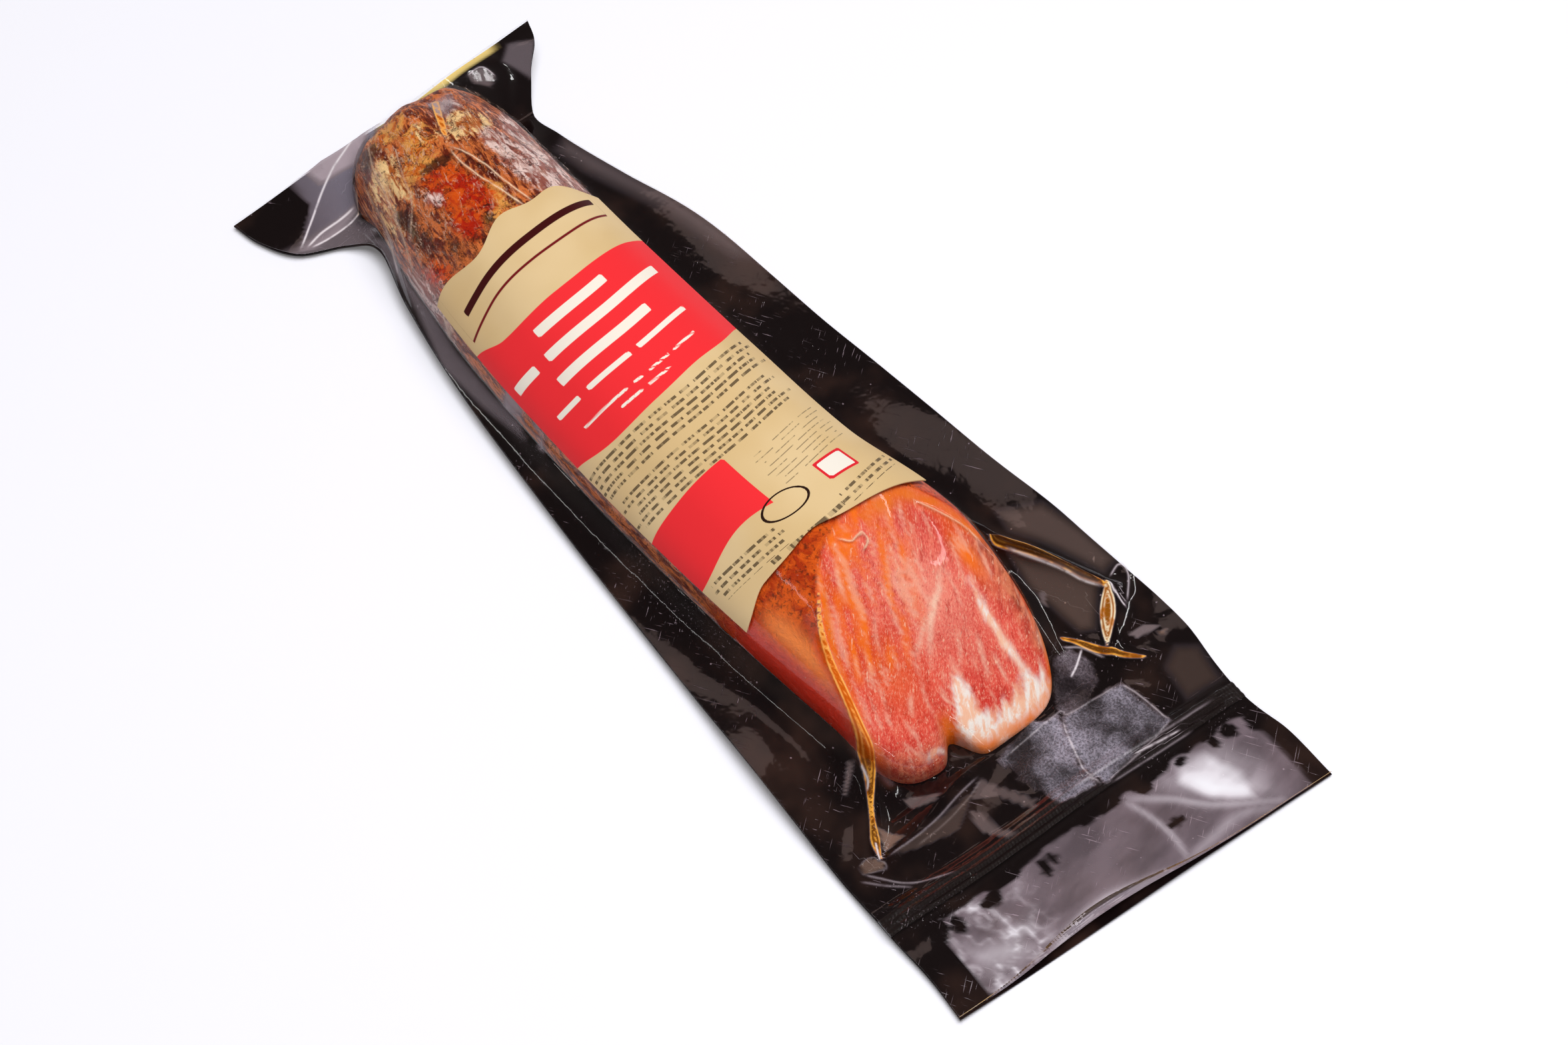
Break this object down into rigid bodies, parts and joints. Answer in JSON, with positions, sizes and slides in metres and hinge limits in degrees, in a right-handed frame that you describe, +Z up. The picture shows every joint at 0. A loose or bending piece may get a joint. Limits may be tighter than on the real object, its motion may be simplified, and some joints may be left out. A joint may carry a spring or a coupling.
{
  "type": "vacuum-packed cured pork loin",
  "caption": "Half of a cured pork loin with a slanting cut, vacuum-packed in a black-backed pouch with a clear front, a label and a zip.",
  "frame": {"origin": "on the resting plane, under the middle of the pouch's outline", "axes": "+X runs along the loin towards the zip and the mouth of the pouch, +Y towards its wide side flange, +Z up out of the clear front"},
  "size_m": [0.4148, 0.166, 0.0506],
  "materials": {
    "black_film": "glossy black-brown pouch film",
    "meat_under_film": "red cured meat under glossy clear film",
    "label_paper": "satin gold label with red fields",
    "zip_plastic": "dark ribbed closure under the film"
  },
  "bodies": {
    "root": {"back_film": "black_film", "loin_in_clear_film": "meat_under_film", "label": "label_paper", "zip_strip": "zip_plastic"}
  },
  "joints": []
}
